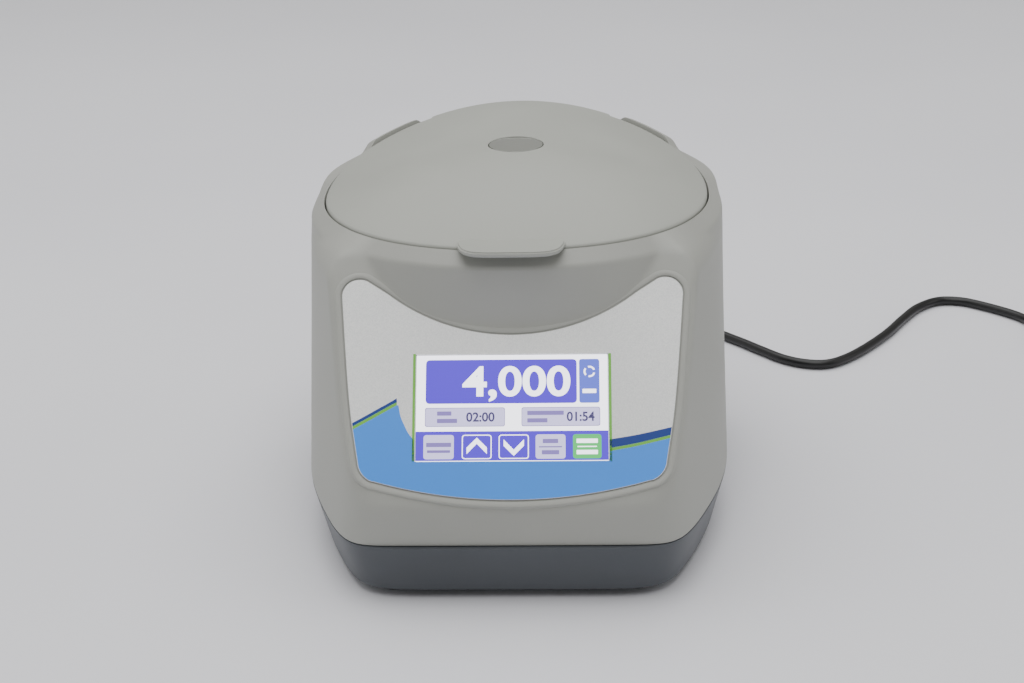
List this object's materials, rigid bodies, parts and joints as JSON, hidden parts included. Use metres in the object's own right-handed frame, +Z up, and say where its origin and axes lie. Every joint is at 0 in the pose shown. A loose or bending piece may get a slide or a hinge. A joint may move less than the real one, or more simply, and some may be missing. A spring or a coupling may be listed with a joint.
{
  "type": "microcentrifuge",
  "caption": "Bench microcentrifuge: drum-topped housing with sloped touch-screen face, domed hinged lid with finger tab, angle rotor in a round chamber, mains lead.",
  "frame": {"origin": "on the bench, under the middle of the machine's footprint (the mains lead left out)", "axes": "+X to the right, -Y towards the user, +Z up"},
  "size_m": [0.5938, 0.4239, 0.1904],
  "materials": {
    "housing": "fine moulded texture",
    "lid": "fine moulded texture",
    "tray": "satin dark slate",
    "overlay": "printed film",
    "screen": "lit display under a touch panel",
    "black_plastic": "satin",
    "rubber": "matt",
    "grey_rubber": "matt",
    "steel": "satin",
    "aluminium": "turned",
    "anodised": "black anodised",
    "motor": "satin black",
    "board": "solder mask",
    "clear": "clear polycarbonate",
    "liner": "moulded"
  },
  "bodies": {
    "base": {"upper_housing": "housing", "base_pan": "tray", "front_fascia": "overlay", "touch_screen": "screen", "display_module": "steel", "display_board": "board", "chamber_bowl": "steel", "bowl_gasket": "grey_rubber", "guard_ring": "motor", "motor_plate": "steel", "motor_damper_1": "rubber", "motor_damper_2": "rubber", "motor_damper_3": "rubber", "motor_housing": "motor", "shaft_seal": "rubber", "main_board": "board", "power_supply": "aluminium", "lock_plate": "steel", "latch_pin": "steel", "latch_spring": "steel", "lock_motor": "motor", "power_inlet": "black_plastic", "fuse_drawer": "black_plastic", "switch_bezel": "black_plastic", "foot_1": "rubber", "foot_2": "rubber", "foot_3": "rubber", "foot_4": "rubber", "foot_screw_1": "steel", "foot_screw_2": "steel", "foot_screw_3": "steel", "foot_screw_4": "steel", "case_screw_1": "steel", "case_screw_2": "steel", "case_screw_3": "steel", "case_screw_4": "steel", "hinge_bracket": "steel", "hinge_pin": "steel", "hinge_spring_left": "steel", "hinge_spring_right": "steel", "cord_connector": "rubber", "mains_cord": "rubber", "mains_cord_coil": "rubber", "mains_plug": "rubber"},
    "lid": {"lid_cover": "lid", "lid_liner": "liner", "lid_window": "clear", "lid_striker": "steel", "lid_hinge_arm_left": "steel", "lid_hinge_arm_right": "steel"},
    "rotor": {"motor_shaft": "steel", "rotor": "anodised", "rotor_lid": "clear"},
    "knob": {"rotor_knob": "aluminium"},
    "latch": {"latch_hook": "steel"},
    "rocker": {"switch_rocker": "black_plastic"}
  },
  "joints": [
    {"name": "lid_hinge", "type": "hinge", "parent": "base", "child": "lid", "pos_m": [0, 0.118, 0.176], "axis": [-1, 0, 0], "range_deg": [0, 80]},
    {"name": "rotor_spin", "type": "hinge", "parent": "base", "child": "rotor", "pos_m": [0, 0.024, 0.1], "axis": [0, 0, 1], "continuous": true},
    {"name": "knob_turn", "type": "hinge", "parent": "rotor", "child": "knob", "pos_m": [0, 0.024, 0.15], "axis": [0, 0, 1], "continuous": true},
    {"name": "latch_swing", "type": "hinge", "parent": "base", "child": "latch", "pos_m": [0.013, -0.0736, 0.128], "axis": [0, 1, 0], "range_deg": [-10, 0]},
    {"name": "power_rocker", "type": "hinge", "parent": "base", "child": "rocker", "pos_m": [0.006, 0.14036, 0.055], "axis": [1, 0, 0], "range_deg": [-14, 0]}
  ]
}
